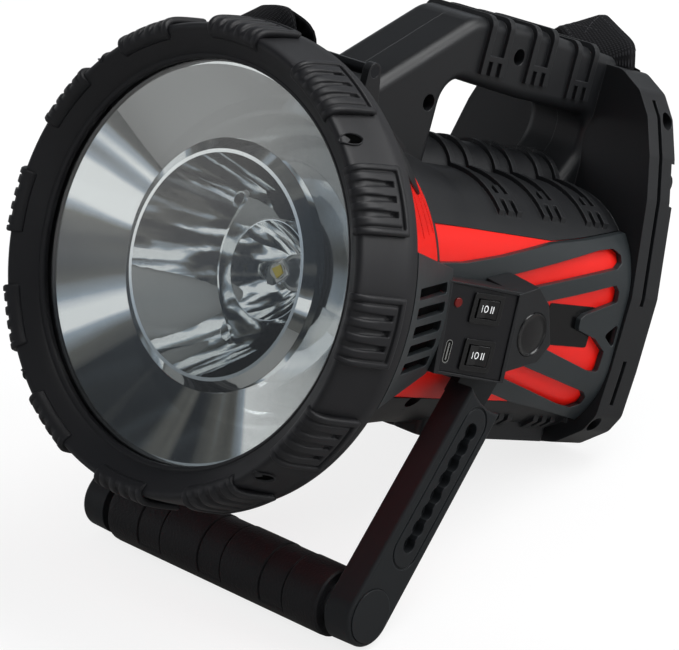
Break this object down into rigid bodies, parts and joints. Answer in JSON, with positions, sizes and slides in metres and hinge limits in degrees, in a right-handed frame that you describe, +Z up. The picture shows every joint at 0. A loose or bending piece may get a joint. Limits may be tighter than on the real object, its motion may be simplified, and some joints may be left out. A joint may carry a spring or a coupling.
{
  "type": "handheld searchlight",
  "caption": "Handheld searchlight: deep reflector in a padded ring, vented red and black body, carrying handle and a swinging stand with a cross grip.",
  "frame": {"origin": "centre of the bounding box's base, on the ground that the stand's grip and the lower rear edge rest on", "axes": "+Z up, the beam leaves along -Y and upward, +X to the switch side"},
  "size_m": [0.2997, 0.3353, 0.2272],
  "materials": {
    "black_housing": "fine grained moulded plastic",
    "grey_trim": "satin moulded plastic",
    "red_plastic": "satin coloured plastic",
    "black_rubber": "soft matte rubber",
    "clear_lens": "clear polished lens",
    "reflector_metal": "vacuum metallised mirror",
    "board_white": "white solder mask on metal",
    "emitter_yellow": "phosphor under a clear dome",
    "sink_aluminium": "extruded",
    "screw_steel": "blackened steel",
    "tube_steel": "drawn tube",
    "switch_black": "glossy black plastic",
    "panel_black": "smooth black plastic",
    "indicator_red": "clear red plastic",
    "port_steel": "nickel plated shell",
    "cell_wrap": "shrink wrapped cells",
    "cradle_black": "moulded plastic",
    "board_green": "printed circuit board",
    "strap_web": "woven black webbing"
  },
  "bodies": {
    "lamp": {"bezel_ring": "black_rubber", "lens": "clear_lens", "lens_seal": "black_rubber", "outer_reflector": "reflector_metal", "inner_reflector": "reflector_metal", "spot_reflector": "reflector_metal", "lamp_board": "board_white", "lamp_emitter": "emitter_yellow", "heat_sink": "sink_aluminium", "head_housing": "red_plastic", "right_body_shell": "black_housing", "left_body_shell": "black_housing", "right_side_panel": "red_plastic", "left_side_panel": "red_plastic", "right_side_trim": "grey_trim", "left_side_trim": "grey_trim", "rear_cover": "black_housing", "cover_screws": "screw_steel", "housing_screws": "screw_steel", "strap_bars": "screw_steel", "right_pod_housing": "black_housing", "left_pod_housing": "black_housing", "switch_panel": "panel_black", "switch_housings": "switch_black", "charge_indicator": "indicator_red", "charging_port": "port_steel", "pivot_bolts": "screw_steel", "pivot_nuts": "screw_steel", "pivot_washers": "panel_black", "pivot_caps": "switch_black", "battery_cells": "cell_wrap", "battery_cradle": "cradle_black", "control_board": "board_green", "shoulder_strap": "strap_web", "strap_ends": "strap_web"},
    "stand": {"right_arm": "black_housing", "left_arm": "black_housing", "arm_end_caps": "black_housing", "cross_tube": "tube_steel", "grip_sleeve": "black_rubber"},
    "upper_rocker": {"upper_rocker": "switch_black"},
    "lower_rocker": {"lower_rocker": "switch_black"}
  },
  "joints": [
    {"name": "stand_swing", "type": "hinge", "parent": "lamp", "child": "stand", "pos_m": [0, 0.00958, 0.09208], "axis": [1, 0, 0], "range_deg": [-4, 81]},
    {"name": "upper_rocker_tilt", "type": "hinge", "parent": "lamp", "child": "upper_rocker", "pos_m": [0.06767, -0.0123, 0.11116], "axis": [0, 0.4371, 0.8994], "range_deg": [-9, 9]},
    {"name": "lower_rocker_tilt", "type": "hinge", "parent": "lamp", "child": "lower_rocker", "pos_m": [0.06788, -0.01901, 0.09441], "axis": [0, 0.4371, 0.8994], "range_deg": [-9, 9]}
  ]
}
